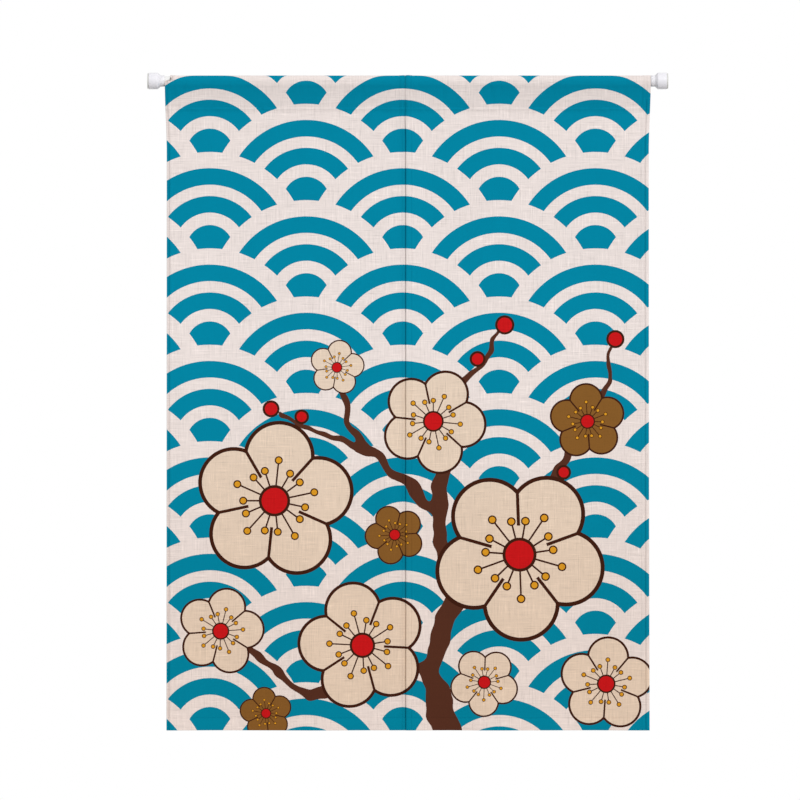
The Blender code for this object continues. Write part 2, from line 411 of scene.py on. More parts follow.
def limbs(place):
    """Distance to the plum's edge, negative inside: the least over its tapered limbs, softly joined. The
    limbs are straight on a place that noise has moved by a few millimetres, so that they come out gnarled."""
    gnarled = cloth_noise(place, GNARLS, 1.0, 1)
    gnarled = gnarled.vector("SUBTRACT", (0.5, 0.5, 0.5)).vector("MULTIPLY", (GNARL, GNARL, 0))
    place = place.vector("ADD", gnarled)
    nearest = None
    for x0, y0, x1, y1, thick, thin in LIMBS:
        run = (x1 - x0, y1 - y0, 0.0)
        length = math.hypot(*run)
        away = place.vector("SUBTRACT", (x0, y0, 0.0))
        along = away.vector("DOT_PRODUCT", run, "Value") / length**2
        along = along.node("Clamp", inputs={0: along})
        foot = along.node("VectorMath", {"operation": "SCALE"}, {0: run, "Scale": along})
        apart = away.vector("SUBTRACT", foot)
        distance = apart.vector("LENGTH", (0, 0, 0), "Value") - (along * (thin - thick) + thick)
        nearest = distance if nearest is None else nearest.math("SMOOTH_MIN", distance, LIMB_JOIN)
    return nearest


def nearest_blossom(place):
    """The place in the frame of the blossom that it is nearest to, in that blossom's radii, and its ochre."""
    found = None
    for x, y, radius, turn, ochre in BLOSSOMS:
        frame_of = {"Location": (x, y, 0), "Rotation": (0, 0, math.radians(turn)), "Scale": (radius,) * 3}
        local = place.node("Mapping", {"vector_type": "TEXTURE"}, {0: place, **frame_of})
        size = local.vector("LENGTH", (0, 0, 0), "Value")
        if found is None:
            found, least, tint = local, size, size * 0 + ochre
        else:
            nearer = size < least
            found = blend(nearer, found, local, "VECTOR")
            tint = blend(nearer, tint, ochre, "FLOAT")
            least = size.math("MINIMUM", least)
    return found, least, tint


def blossoms(place, picture):
    """The picture with the blossoms on it: five round petals with brown outlines, a red heart, and stamens
    with gold tips. Angles are folded so that one petal, and one stamen, is drawn and repeats."""
    local, radius, tint = nearest_blossom(place)
    x, y = local.across_and_up()
    angle = y.math("ARCTAN2", x)
    fold = math.pi / PETALS
    turn = angle.math("PINGPONG", fold)
    petal = hypot(radius * turn.math("COSINE") - PETAL_MIDDLE, radius * turn.math("SINE")) - PETAL_RADIUS
    between = radius * (fold - turn).math("SINE")
    inside = (petal < INK_LINE / 2).math("MAXIMUM", radius < PETAL_ROOT)
    outline = (petal > -INK_LINE / 2).math("MULTIPLY", radius > PETAL_ROOT)
    seam = (between < INK_LINE * 0.4).math("MULTIPLY", radius > SEAM_ROOT)
    stamen_turn = angle.math("PINGPONG", fold / STAMENS_A_PETAL)
    stamen_reach = blend(turn < fold / STAMENS_A_PETAL, *STAMEN_REACHES, "FLOAT")
    beside = radius * stamen_turn.math("SINE")
    along = radius * stamen_turn.math("COSINE")
    stamen = (beside < INK_LINE * 0.22).math("MULTIPLY", radius < stamen_reach)
    tip = hypot(along - stamen_reach, beside)
    ink = outline.math("MAXIMUM", seam).math("MAXIMUM", stamen)
    ink = ink.math("MAXIMUM", tip < TIP_EDGE).math("MAXIMUM", radius < HEART_EDGE)
    flower = blend(ink, blend(tint, CREAM, OCHRE), BROWN)
    flower = blend(tip < STAMEN_TIP, flower, GOLD)
    flower = blend(radius < HEART, flower, RED)
    return blend(inside, picture, flower)


def buds(place, picture):
    """Round red buds with brown outlines."""
    nearest = None
    for x, y, radius in BUDS:
        distance = place.vector("DISTANCE", (x, y, 0), "Value") - radius
        nearest = distance if nearest is None else nearest.math("MINIMUM", distance)
    picture = blend(nearest < BUD_LINE, picture, BROWN)
    return blend(nearest < -BUD_LINE, picture, RED)


def print_on(place):
    """The printed picture on its linen ground, at a place in cloth metres that noise has moved by less than a
    thread, as ink creeps."""
    creep = cloth_noise(place, 1 / THREAD, 1.0, 1)
    creep = creep.vector("SUBTRACT", (0.5, 0.5, 0.5)).vector("MULTIPLY", (BLEED, BLEED, 0))
    place = place.vector("ADD", creep)
    picture = blend(waves(place), LINEN, TEAL)
    picture = blend(limbs(place) < 0, picture, BARK)
    return blossoms(place, buds(place, picture))


def slubs(place):
    """Long thick and thin stretches of thread, down and across: noise drawn out along each thread, and
    squared with its sign kept, so that most threads are even and a few stand out."""
    total = 0.0
    for stretch, seed in ((SLUBS, 3.0), (SLUBS[::-1], 11.0)):
        drawn = place.vector("MULTIPLY", (*stretch, 1.0)).vector("ADD", (seed, seed * 2, 0))
        inputs = {"Vector": drawn, "Scale": 1.0, "Detail": 2.0, "Roughness": 0.6}
        off = place.node("TexNoise", {"noise_dimensions": "2D"}, inputs) - 0.5
        total = off * off.math("ABSOLUTE") * 5.0 + total
    return total


def weave_height(place):
    """Plain weave: each thread arches over every second one that it crosses."""
    warp, weft = ((way * (math.pi / THREAD)).math("SINE") for way in place.across_and_up())
    over = (warp * weft) > 0
    return blend(over, warp.math("ABSOLUTE"), weft.math("ABSOLUTE"), "FLOAT")


def cloth_material(name, woven=True):
    """Printed cloth, or the sewing thread that took the print with it."""
    made, shader, start = new_material(name)
    place = start.node("UVMap", {"uv_map": "cloth_metres"})
    marks = ("printed", "shade", "sewn")
    printed, shade, sewn = (start.node("Attribute", {"attribute_name": mark}, output="Fac") for mark in marks)
    picture = print_on(place)
    ground = blend(printed, blend(1 - BACK_STRENGTH, picture, LINEN), picture)
    lightness = ground.node("SeparateColor", inputs={0: ground})
    uneven_threads = slubs(place)
    cloudy = cloth_noise(place, CLOTH_CLOUDS, 2.0, 0)
    amount = lightness * (SLUB_TONES[1] - SLUB_TONES[0]) + SLUB_TONES[0]
    tone = 1.0 + uneven_threads * amount + (cloudy - 0.5) * CLOUD_TONES
    # Painted shade: the panels' shade mark, and more beside the stitches
    tone = tone * shade * (1.0 - sewn * STITCH_SHADE)
    _, up = place.across_and_up()
    # Painted shade: the colours grow darker and warmer towards the bottom
    low = up.node("MapRange", {"interpolation_type": "SMOOTHSTEP"}, {0: up, 1: LOW_SHADE_FROM, 2: LOW_SHADE_TO})
    low_shade = blend(low, (1.0, 1.0, 1.0), LOW_SHADE)
    colour = blend(1.0, blend(1.0, ground, low_shade, mode="MULTIPLY"), tone, mode="MULTIPLY")
    colour.feed(shader.inputs["Base Color"])
    (CLOTH_ROUGHNESS + uneven_threads * 0.2).feed(shader.inputs["Roughness"])
    shader.inputs["Specular IOR Level"].default_value = CLOTH_GLOSS
    if woven:
        height = weave_height(place) * 0.6 + uneven_threads * 0.8
        inputs = {"Height": height, "Distance": RELIEF, "Strength": 0.8}
        start.node("Bump", inputs=inputs, output="Normal").feed(shader.inputs["Normal"])
    return made


# ---- Panels ----
# Each half of the curtain is one length of cloth, hemmed at both sides and at the bottom. Its top is turned
# to the back over the rod and sewn down, so that the cloth itself makes the pocket. It hangs almost flat.

CURTAIN_WIDTH = 0.850
CURTAIN_DROP = 1.155
LEFT_EDGE = (SPAN - CURTAIN_WIDTH) / 2
SLIT = SPAN / 2 - 0.0045  # a little left of the middle
FRONT = 0.0004  # from the sheet's middle to either face, in a single layer
ENDS = {"left": ("outer", "slit"), "right": ("slit", "outer")}  # the hems at a panel's left and right
COLUMNS = 200  # between them

# Pocket and its mouths
POCKET_DEPTH = 0.057
CLEARANCE = 0.0003  # between rod and cloth
HALF_SHEET = 0.0006  # of the solids' cloth, which goes round the rod on a polygon of WRAP_SIDES
WRAP_SIDES = 12
WRAP_RADIUS = (ROD_RADIUS + CLEARANCE) / math.cos(math.pi / WRAP_SIDES) + HALF_SHEET
TOP = WRAP_RADIUS + HALF_SHEET
BOTTOM = TOP - CURTAIN_DROP
STITCHES = TOP - POCKET_DEPTH
POCKET_END = STITCHES - 0.0035
LEAVES_ROD = math.radians(85)  # from straight down, where the cloth leaves the rod's curve
CORNER_PAST = math.radians(125)  # where the drawn-back corner of the left mouth is past
LAYER_APART = 0.0005  # from the plane between the pocket's two layers to either, at the stitches
LAYER_RUN = 0.004  # the height over which they part
LEAN = math.tan(math.radians(6.5))  # of both layers away from that plane, just above the stitches
SEAM_TOP = STITCHES + 0.0045
SEAM_PULL = 0.014  # handles of the curves between seam, knee and rod
KNEE = (0.0069, -0.0130)  # where the layers, on their way down from the rod, lean in the most, as y and z
KNEE_LEAN = math.tan(math.radians(14))
KNEE_PULLS = (0.007, 0.005)  # below the knee and above it
ROD_PULL = (0.0004, -0.005)
FLARE = 0.0032  # how much further out the mouths stand than the sides
FLARE_START = -0.007
FLARE_RUN = 0.120
SPREAD = {"left": 0.0004, "right": 0.0014}  # how far the outer edges stand out again at the bottom
SPREAD_START = -0.210
MOUTH_DRAWN_BACK = 0.0095  # of the left mouth's upper corner
MOUTH_TURNS = tuple(math.radians(turn) for turn in (86, 102, 200, 250))
# Where that corner gapes from the rod: place along X and turn, the half width in each, and how far
MOUTH_LIP = (0.0405, math.radians(108), 0.0040, math.radians(12), 0.0022)
MOUTH_SHADE = (math.radians(108), math.radians(12), 1.20)  # turn, half width and depth of the gap's painted shade

# Slit: the left panel's edge goes behind the right panel's, by a hair in the pocket and further below it
SLIT_GAP = 0.0001  # round the rod
LAP_START = -0.006
LAP_RUN = 0.006
POCKET_LAP = 0.0001
POCKET_STAGGER = 0.0003
SLIT_STAGGER = 0.0018
SLIT_REACH = 0.045
SLIT_RUN = 0.03
SLIT_LAP = {"left": 0.0030, "right": -0.0014}
# Painted shade of the groove between the two panels' edges, in the pocket and just below: rows of height and
# depth
SLIT_SHADES = ((-0.076, 0.0), (-0.062, 0.19), (-0.040, 0.19), (-0.030, 0.12), (-0.008, 0.12), (0.0, 0.18))
GROOVE = 0.0016  # half width of that shade, and of the one in the left mouth

# Soft folds: centre and half width along X, depth to the front at the bottom edge, and sideways drift down
# to there. SWAY brings the whole cloth a little to the front on the way.
SWAY = 0.0025
FOLDS = (
    (0.040, 0.060, 0.0030, 0.004),
    (0.150, 0.085, -0.0032, -0.014),
    (0.275, 0.080, 0.0036, 0.016),
    (0.385, 0.060, -0.0022, 0.006),
    (0.520, 0.070, -0.0026, 0.010),
    (0.635, 0.085, 0.0034, -0.018),
    (0.760, 0.080, -0.0034, 0.012),
    (0.880, 0.060, 0.0026, -0.004),
)

# Painted shade of the pocket, where two layers lie close and the rod keeps the light off: rows of height and
# depth
POCKET_SHADES = (
    (-0.0400, 0.060),
    (-0.0330, 0.040),
    (-0.0145, 0.040),
    (-0.0115, 0.075),
    (-0.0080, 0.070),
    (-0.0055, 0.010),
    (0.0000, 0.015),
    # painted shade over the top of the rod's curve, where the light falls strongest
    (0.0030, 0.025),
    (0.0060, 0.035),
    (0.0085, 0.000),
)

# Unevenness, with the shortest and the longest of its waves. The crease where the cloth breaks under the rod:
# its place, half width and depth
BREAK = (-0.0085, 0.0035, 0.00025)
BREAK_WAVES = (0.006, 0.040)
# Puckers along the pocket's stitches, and folds that start there: depth and how soon they fade
PUCKERS = (0.00018, 0.006)
PUCKER_WAVES = (0.007, 0.030)
SEAM_FOLDS = (0.00022, 0.12)
SEAM_FOLD_WAVES = (0.035, 0.10)
HANGING = 0.00030  # depth of the hanging cloth's
HANGING_ACROSS = (0.045, 0.16)
HANGING_DOWN = (0.11, 0.42)

# Hems. At the sides: distances of the stitches and of the turned edge from the fold, height of the roll
# between fold and stitches, and depth of the trough along the stitches
HEMS = {
    ("left", "outer"): (0.0040, 0.0100, 0.00080, 0.00060),
    ("left", "slit"): (0.0080, 0.0100, 0.00025, 0.00010),
    ("right", "slit"): (0.0100, 0.0120, 0.00060, 0.00010),
    ("right", "outer"): (0.0069, 0.0140, 0.00090, 0.00046),
}
# The pull of the pocket over the rod eases roll and trough: how much, and over which heights
HEM_EASE = 0.75
EASE_BOTTOM = -0.038
EASE_TOP = {"left": -0.004, "right": 0.020}
EASE_RUNS = (0.010, 0.006)  # from none to all, below and above
HEM_RISE = 0.00028  # how far the turned-in layers lift the front
STEP_RUN = 0.002  # over which that rise ends, and the pocket's shade
HEM_BACK = 0.00055  # and what they add at the back
HEM_BACK_POCKET = 0.1  # the share of it that is left inside the pocket
HEM_STEP = 0.00015  # half the width of the turned edge's step at the back
EDGE_REACH = 0.0011  # from a folded edge to where its rounding meets the faces
ARC_STEPS = 7
BOTTOM_HEM = 0.024
BOTTOM_STITCHES = 0.0220
BOTTOM_ROLL = 0.00035
BOTTOM_DENT = 0.00015
BOTTOM_LIGHT = 0.02  # painted light, by which its doubled cloth is paler
DENT_WIDTH = 0.0009  # half widths of the troughs along stitches
SEAM_DENT_WIDTH = 0.0012
SEAM_DENT = 0.00008
SEAM_DENT_AT = STITCHES + 0.0014
SEAM_RIDGE = 0.00105  # height of the ridge under the pocket's stitches
SEAM_RIDGE_AT = STITCHES - 0.0024
SEAM_RIDGE_ABOVE = 0.0023  # half widths above and below
SEAM_RIDGE_BELOW = 0.0045
SEAM_TIGHTNESS = 0.3  # how much ridge and trough vary along the seam
TIGHTNESS_WAVES = (0.009, 0.05)
SEWN_WIDTH = 0.0012  # half width of the shade beside stitches
SEWN_DENT = 0.0006  # the trough that has the whole of that shade
BOTTOM_SEWN = 0.2  # the share of it along the bottom

# Where the grid has rows: heights above the bottom edge by its hem, then where the hanging cloth's rows start
# above that edge, where they end below the pocket, and their number, and the same for the rows by the seam
BOTTOM_ROWS = (0.0022, 0.0045, 0.008, 0.012, 0.016, 0.0190, 0.0205, 0.0213, BOTTOM_STITCHES, 0.0227, 0.0235)
BOTTOM_ROWS += (BOTTOM_HEM - HEM_STEP, BOTTOM_HEM + HEM_STEP, 0.0255, 0.0275, 0.0310, 0.0370)
FREE_ROWS = (BOTTOM + 0.046, POCKET_END - 0.016, 62)
SEAM_ROWS = (POCKET_END - 0.0090, SEAM_TOP, 24)

# Drag lines of the pocket under the rod: place along X, half width, height to the front and length
DRAG_TOP = -0.006
DRAG_LEAN = 0.12  # sideways, at most
DRAGS = (
    (0.052, 0.0040, 0.00045, 0.020),
    (0.066, 0.0030, -0.00060, 0.026),
    (0.078, 0.0035, 0.00050, 0.018),
    (0.104, 0.0028, -0.00055, 0.024),
    (0.112, 0.0030, -0.00050, 0.030),
    (0.150, 0.0060, 0.00040, 0.022),
    (0.205, 0.0050, -0.00040, 0.026),
    (0.262, 0.0060, 0.00040, 0.020),
    (0.307, 0.0035, -0.00055, 0.028),
    (0.318, 0.0030, 0.00050, 0.020),
    (0.326, 0.0028, -0.00045, 0.024),
    (0.346, 0.0035, -0.00070, 0.030),
    (0.376, 0.0030, -0.00055, 0.022),
    (0.386, 0.0028, 0.00050, 0.018),
    (0.436, 0.0040, -0.00050, 0.030),
    (0.474, 0.0040, 0.00040, 0.022),
    (0.521, 0.0030, -0.00060, 0.026),
    (0.535, 0.0030, -0.00045, 0.020),
    (0.550, 0.0035, 0.00050, 0.024),
    (0.590, 0.0030, -0.00050, 0.020),
    (0.606, 0.0035, -0.00060, 0.028),
    (0.622, 0.0028, -0.00055, 0.022),
    (0.673, 0.0050, 0.00045, 0.024),
    (0.700, 0.0045, -0.00040, 0.020),
    (0.742, 0.0040, 0.00045, 0.026),
    (0.776, 0.0030, -0.00055, 0.022),
    (0.810, 0.0028, -0.00060, 0.026),
    (0.832, 0.0035, 0.00055, 0.018),
    (0.841, 0.0025, -0.00060, 0.028),
    (0.872, 0.0030, -0.00070, 0.034),
)


def smooth(share):
    """0 below 0, 1 above 1, and an even S-curve between."""
    share = np.clip(share, 0.0, 1.0)
    return share * share * (3 - 2 * share)


def bell(distance, width):
    """1 where the distance is 0, falling away on both sides."""
    return np.exp(-((distance / width) ** 2))


def uneven(place, shortest, longest, seed):
    """An irregular line, mostly between -1 and 1: nine sines of random phase, from the shortest wave to the
    longest."""
    phases = np.random.default_rng(seed).uniform(0, 2 * np.pi, 9)
    lengths = np.geomspace(shortest, longest, 9)
    return sum(np.sin(2 * np.pi * place / length + phase) for length, phase in zip(lengths, phases)) / 3.5


def belly(x, z):
    """How far back the cloth's middle lies: soft folds that deepen on the way down from the stitches."""
    down = np.maximum(STITCHES - z, 0.0) / (STITCHES - BOTTOM)
    back = -SWAY * np.sin(np.pi * down) * down
    for centre, half_width, depth, drift in FOLDS:
        off = np.clip((x - centre - drift * down) / half_width, -1, 1)
        back = back - depth * np.cos(off * np.pi / 2) ** 2 * down
    return back


def panel_edges(side, z, turn):
    """(left, right) ends of a panel's rows at those heights and angles round the rod."""
    flare = FLARE * (1 - smooth((FLARE_START - z) / FLARE_RUN))
    flare = flare + SPREAD[side] * np.clip((SPREAD_START - z) / (SPREAD_START - BOTTOM), 0, 1) ** 2
    lap = POCKET_LAP * smooth((LAP_START - z) / LAP_RUN)
    lap = lap + SLIT_LAP[side] * smooth((POCKET_END - z) / SLIT_RUN - 0.5)
    if side == "right":
        return SLIT + SLIT_GAP / 2 - lap, LEFT_EDGE + CURTAIN_WIDTH + flare
    starts, stepped, returns, ends = MOUTH_TURNS
    drawn = smooth((turn - starts) / (stepped - starts)) * (1 - smooth((turn - returns) / (ends - returns)))
    return LEFT_EDGE - flare + MOUTH_DRAWN_BACK * drawn, SLIT - SLIT_GAP / 2 + lap


def hem_stations(stitches, turned_edge):
    """Distances from a folded edge at which the grid has columns: close by the stitches and the turned
    edge."""
    steps = [EDGE_REACH, (EDGE_REACH + stitches) / 2]
    steps += [stitches + step for step in (-0.0014, -0.0007, 0.0, 0.0007, 0.0014)]
    steps += [turned_edge + step for step in (-0.0013, -HEM_STEP, HEM_STEP, 0.0014, 0.0030)]
    return np.array(sorted(steps))


def columns_across(side):
    """Each column's share of the way to the right edge, its offset in metres from that place, and its
    distance from the left folded edge on the flat cloth."""
    left, right = (hem_stations(*HEMS[side, end][:2]) for end in ENDS[side])
    inner = np.linspace(0, 1, COLUMNS + 2)[1:-1]
    share = np.concatenate([0 * left, inner, 0 * right + 1])
    offset = np.concatenate([left, left[-1] * (1 - inner) - right[-1] * inner, -right[::-1]])
    return share, offset, share * panel_width(side) + offset


def panel_width(side):
    """From a panel's outer edge to the slit, on the flat cloth."""
    return (SLIT - LEFT_EDGE) if side == "left" else (LEFT_EDGE + CURTAIN_WIDTH - SLIT)


def curve_between(start, start_pull, end, end_pull, steps):
    """Points inside a cubic Bezier curve, each (y, z), from start to end with the pulls as its handles."""
    t = np.linspace(0, 1, steps + 2)[1:-1, None]
    handles = [np.array(start), np.add(start, start_pull), np.add(end, end_pull), np.array(end)]
    weights = [(1 - t) ** 3, 3 * t * (1 - t) ** 2, 3 * t * t * (1 - t), t**3]
    return sum(weight * handle for weight, handle in zip(weights, handles))


def layer_plane(z):
    """How far a pocket layer stands off the plane between the two: nothing on the hanging cloth,
    LAYER_APART at the stitches, and more above them."""
    parted = smooth((z - POCKET_END + LAYER_RUN / 2) / LAYER_RUN)
    return LAYER_APART * parted + LEAN * np.maximum(z - STITCHES, 0)


def path_rows():
    """The sheet's path, one row a point: from the bottom edge up the front, over the rod and down to the
    end of the flap. Gives each row's y and z, the angle round the rod, the length along the cloth and
    whether it lies on the front."""
    rounding = 1 - np.cos(np.linspace(0, np.pi / 2, 5))
    edge, hem = BOTTOM + EDGE_REACH * rounding, BOTTOM + np.array(BOTTOM_ROWS)
    up = np.concatenate([edge, hem, np.linspace(*FREE_ROWS), np.linspace(*SEAM_ROWS)])
    flap = np.linspace(SEAM_TOP, POCKET_END + FRONT + FRONT, 10)
    down = np.concatenate([flap, POCKET_END + FRONT * rounding[::-1]])
    front = np.stack([-layer_plane(up), up], axis=1)
    back = np.stack([layer_plane(down), down], axis=1)
    corner = np.linspace(LEAVES_ROD, CORNER_PAST, 17)
    turns = np.concatenate([corner, np.linspace(CORNER_PAST, 2 * np.pi - LEAVES_ROD, 15)[1:]])
    ring = np.stack([-WRAP_RADIUS * np.sin(turns), -WRAP_RADIUS * np.cos(turns)], axis=1)
    knee = np.array(KNEE) * (-1, 1)
    below, above = KNEE_PULLS
    to_knee = curve_between(front[-1], (-LEAN * SEAM_PULL, SEAM_PULL), knee, (KNEE_LEAN * below, -below), 12)
    to_rod = curve_between(knee, (-KNEE_LEAN * above, above), ring[0], ROD_PULL, 6)
    rise = np.concatenate([to_knee, [knee], to_rod])
    fall = rise[::-1] * (-1, 1)
    path = np.concatenate([front, rise, ring, fall, back])
    before, after = np.zeros(len(front) + len(rise)), np.full(len(fall) + len(back), turns[-1])
    turn = np.concatenate([before, turns, after])
    length = np.concatenate([[0], np.cumsum(np.hypot(*np.diff(path, axis=0).T))])
    on_front = np.arange(len(path)) < len(front) + len(rise) + len(turns) // 2
    return path[:, 0], path[:, 1], turn, length, on_front


def normals(points):
    """Unit normals of a grid of points, from the cross product of its steps along columns and rows."""
    normal = np.cross(np.gradient(points, axis=1), np.gradient(points, axis=0))
    return normal / np.linalg.norm(normal, axis=-1, keepdims=True)


def middle_surface(side):
    """The middle of the panel's sheet as a grid of points [row, column]: the path carried along X, with the
    soft folds, and bent back or forward at the slit."""
    y, z, turn, _, _ = path_rows()
    share, offset, _ = columns_across(side)
    left, right = panel_edges(side, z, turn)
    x = left[:, None] * (1 - share) + right[:, None] * share + offset
    inwards = (right[:, None] - x) if side == "left" else (x - left[:, None])
    bend = POCKET_STAGGER * smooth((LAP_START - z) / LAP_RUN)
    bend = bend + SLIT_STAGGER * smooth((POCKET_END - z) / SLIT_RUN)
    bend = bend[:, None] * (1 - smooth(inwards / SLIT_REACH)) * (1 if side == "left" else -1)
    z = z[:, None] + 0 * x
    return np.stack([x, y[:, None] + belly(x, z) + bend, z], axis=-1)


def small_waves(side, points):
    """What stands off the even surface, in metres to the front: drag lines and a crease under the rod, the
    gaping corner of the left mouth, puckers along the pocket's stitches, and the faint unevenness of the
    hanging cloth, which is the product of an uneven line across and one down."""
    _, _, turn, _, on_front = path_rows()
    x, z = points[..., 0], points[..., 2]
    front = on_front[:, None]
    seed = 5 if side == "left" else 6
    off = 0 * x
    for place, half_width, height, length in DRAGS:
        middle = DRAG_TOP - length / 2
        lean = (z - middle) * DRAG_LEAN * math.sin(place * 90)
        off += height * bell(x - place - lean, half_width) * bell(z - middle, length / 2) * front
    corner, corner_turn, half_width, half_turn, gape = MOUTH_LIP
    off += gape * bell(x - corner, half_width) * bell(turn - corner_turn, half_turn)[:, None]
    break_at, half_width, depth = BREAK
    off += depth * uneven(x, *BREAK_WAVES, seed + 40) * bell(z - break_at, half_width) * front
    depth, fade = PUCKERS
    off += depth * uneven(x, *PUCKER_WAVES, seed) * np.exp(-np.abs(z - STITCHES) / fade)
    hanging = smooth((STITCHES - z) / 0.05) * smooth((z - BOTTOM) / 0.02) * front
    broad = uneven(x + 0.15 * z, *HANGING_ACROSS, seed + 10) * uneven(z + 0.2 * x, *HANGING_DOWN, seed + 20)
    off = off + HANGING * broad * hanging
    depth, fade = SEAM_FOLDS
    below_seam = np.exp(-np.maximum(STITCHES - z, 0) / fade) * (z < STITCHES)
    return off + depth * uneven(x + 0.4 * z, *SEAM_FOLD_WAVES, seed + 30) * below_seam


def side_hem(distance, stitches, turned_edge, roll, dent):
    """How far a side hem lifts the printed face: a roll from the fold to the stitches, a trough along them, a
    lower roll on to the turned edge, and a soft step down from there."""
    outer = roll * np.sin(np.pi * np.clip(distance / stitches, 0, 1))
    inner = roll / 2 * np.sin(np.pi * np.clip((distance - stitches) / (turned_edge - stitches), 0, 1))
    step = HEM_RISE * (1 - smooth((distance - turned_edge + STEP_RUN / 2) / STEP_RUN))
    return outer + inner + step - dent * bell(distance - stitches, DENT_WIDTH)


def sheet_faces(side):
    """How far the printed face and the reverse stand off the middle surface, and per point: 1 where the
    reverse is a turned-in side hem, 1 where it is the bottom hem, the painted shade of the layers behind,
    and nearness to a line of stitches."""
    _, z, turn, length, on_front = path_rows()
    _, _, across = columns_across(side)
    up, z = length[:, None], z[:, None] + 0 * across
    in_pocket = smooth((z - POCKET_END + STEP_RUN / 2) / STEP_RUN)
    below, above = EASE_RUNS
    eased = 1 - HEM_EASE * smooth((z - EASE_BOTTOM) / below) * smooth((EASE_TOP[side] - z) / above)
    face, reverse = FRONT + 0 * z, FRONT + 0 * z
    side_turned, sewn = 0 * z, 0 * z
    for distance, end in zip((across, panel_width(side) - across), ENDS[side]):
        stitches, turned_edge, roll, dent = HEMS[side, end]
        turned = np.interp(distance, [turned_edge - HEM_STEP, turned_edge + HEM_STEP], [1, 0])
        if end == "outer":
            roll, dent = roll * eased, dent * eased
        face = face + side_hem(distance, stitches, turned_edge, roll, dent)
        reverse = reverse + HEM_BACK * turned * (1 - (1 - HEM_BACK_POCKET) * in_pocket)
        side_turned = np.maximum(side_turned, turned)
        sewn = np.maximum(sewn, dent / SEWN_DENT * bell(distance - stitches, SEWN_WIDTH))
    bottom_turned = np.interp(up, [BOTTOM_HEM - HEM_STEP, BOTTOM_HEM + HEM_STEP], [1, 0]) + 0 * z
    face = face + BOTTOM_ROLL * np.sin(np.pi * np.clip(up / BOTTOM_STITCHES, 0, 1))
    face = face - BOTTOM_DENT * bell(up - BOTTOM_STITCHES, DENT_WIDTH)
    reverse = reverse + HEM_BACK * bottom_turned
    tightness = 1 + SEAM_TIGHTNESS * uneven(across, *TIGHTNESS_WAVES, 41)
    ridge = bell(z - SEAM_RIDGE_AT, np.where(z < SEAM_RIDGE_AT, SEAM_RIDGE_BELOW, SEAM_RIDGE_ABOVE))
    seam = SEAM_RIDGE * ridge - SEAM_DENT * bell(z - SEAM_DENT_AT, SEAM_DENT_WIDTH)
    face = face + seam * tightness * on_front[:, None]
    to_end = np.minimum(up, length[-1] - up)
    rounding = np.clip(to_end / np.where(up < length[-1] / 2, EDGE_REACH, FRONT), 0, 1)
    rounding = np.sqrt(1 - (1 - rounding) ** 2)
    # Painted shade in the pocket, the slit's groove and the left mouth's gap, and painted light on the bottom
    # hem
    pocket_shade = np.interp(z, *np.transpose(POCKET_SHADES)) * in_pocket
    from_slit = (panel_width(side) - across) if side == "left" else across
    edge_shade = np.interp(z, *np.transpose(SLIT_SHADES)) * bell(from_slit, GROOVE)
    if side == "left":
        shade_turn, half_width, depth = MOUTH_SHADE
        edge_shade = edge_shade + depth * bell(across, GROOVE) * bell(turn - shade_turn, half_width)[:, None]
    shade = (1 - pocket_shade + BOTTOM_LIGHT * bottom_turned) * (1 - edge_shade)
    sewn = np.maximum(sewn, BOTTOM_SEWN * bell(up - BOTTOM_STITCHES, SEWN_WIDTH))
    return face * rounding, reverse * rounding, side_turned, bottom_turned, shade, sewn


